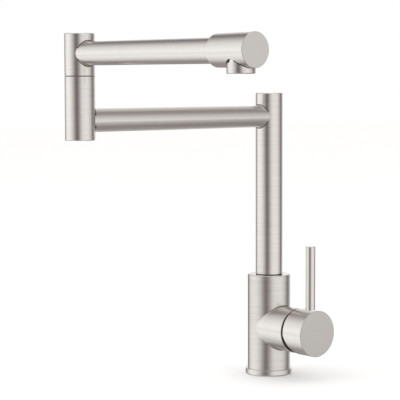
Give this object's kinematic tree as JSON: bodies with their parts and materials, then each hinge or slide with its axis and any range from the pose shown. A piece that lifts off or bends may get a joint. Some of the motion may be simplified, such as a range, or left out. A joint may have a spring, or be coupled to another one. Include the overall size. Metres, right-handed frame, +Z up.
{
  "type": "kitchen faucet",
  "caption": "Deck-mounted lever-handle kitchen mixer faucet with a straight riser and a folding jointed spout of round tube arms, ending in an outlet head with an aerator.",
  "frame": {"origin": "centre of the base on the deck", "axes": "+Z up along the riser; the cook stands at -Y; +X along the handle's axis, away from the body; at rest the lower arm points to -Y and the upper arm to +X"},
  "size_m": [0.2792, 0.2814, 0.3555],
  "materials": {
    "brushed_stainless": "brushed stainless steel with a fine straight or turned grain",
    "brass": "plain turned brass",
    "hardened_steel": "ground steel",
    "black_acetal": "moulded, satin",
    "cartridge_plastic": "moulded, satin",
    "alumina": "lapped ceramic",
    "seal_rubber": "moulded rubber",
    "aerator_plastic": "moulded, with a fine mesh"
  },
  "bodies": {
    "faucet_body": {"base_ring": "brushed_stainless", "base_gasket": "seal_rubber", "body_casting": "brushed_stainless", "riser_slip_ring": "black_acetal", "riser_keeper_screw": "hardened_steel", "cartridge_case": "cartridge_plastic", "cartridge_base": "cartridge_plastic", "cartridge_port_seals": "seal_rubber", "ceramic_fixed_disc": "alumina", "cartridge_nut": "brass", "bonnet_ring": "black_acetal"},
    "mixing_carrier": {"cartridge_carrier": "cartridge_plastic", "spindle_pin": "hardened_steel"},
    "moving_disc": {"ceramic_moving_disc": "alumina", "disc_driver": "cartridge_plastic"},
    "handle": {"handle_knob": "brushed_stainless", "lever_rod": "brushed_stainless", "handle_grub_screw": "hardened_steel", "cartridge_spindle": "hardened_steel"},
    "riser": {"riser_spigot": "brass", "riser_seal_rings": "seal_rubber", "riser_tube": "brushed_stainless", "riser_top_cap": "brushed_stainless", "lower_arm_tube": "brushed_stainless", "elbow_post": "brushed_stainless", "elbow_bottom_cap": "brushed_stainless", "elbow_bush": "black_acetal", "elbow_slip_ring": "black_acetal"},
    "upper_arm": {"elbow_spigot": "brass", "elbow_seal_rings": "seal_rubber", "elbow_circlip": "hardened_steel", "upper_knuckle": "brushed_stainless", "knuckle_top_cap": "brushed_stainless", "upper_arm_tube": "brushed_stainless", "outlet_head": "brushed_stainless", "aerator_sleeve": "brushed_stainless", "aerator_core": "aerator_plastic", "aerator_gasket": "seal_rubber"}
  },
  "joints": [
    {"name": "riser_swivel", "type": "hinge", "parent": "faucet_body", "child": "riser", "pos_m": [0, 0, 0.106], "axis": [0, 0, 1], "continuous": true},
    {"name": "elbow_swivel", "type": "hinge", "parent": "riser", "child": "upper_arm", "pos_m": [0, -0.2415, 0.3148], "axis": [0, 0, 1], "continuous": true},
    {"name": "temperature_turn", "type": "hinge", "parent": "faucet_body", "child": "mixing_carrier", "pos_m": [0.0371, 0, 0.0506], "axis": [1, 0, 0], "range_deg": [-50, 50]},
    {"name": "flow_lift", "type": "hinge", "parent": "mixing_carrier", "child": "handle", "pos_m": [0.0371, 0, 0.0506], "axis": [0, 1, 0], "range_deg": [0, 15]},
    {"name": "disc_slide", "type": "slide", "parent": "mixing_carrier", "child": "moving_disc", "axis": [0, 0, 1], "range_m": [0, 0.00265]}
  ],
  "couplings": [
    {"joint": "disc_slide", "follows": "flow_lift", "m_per_rad": 0.01}
  ]
}
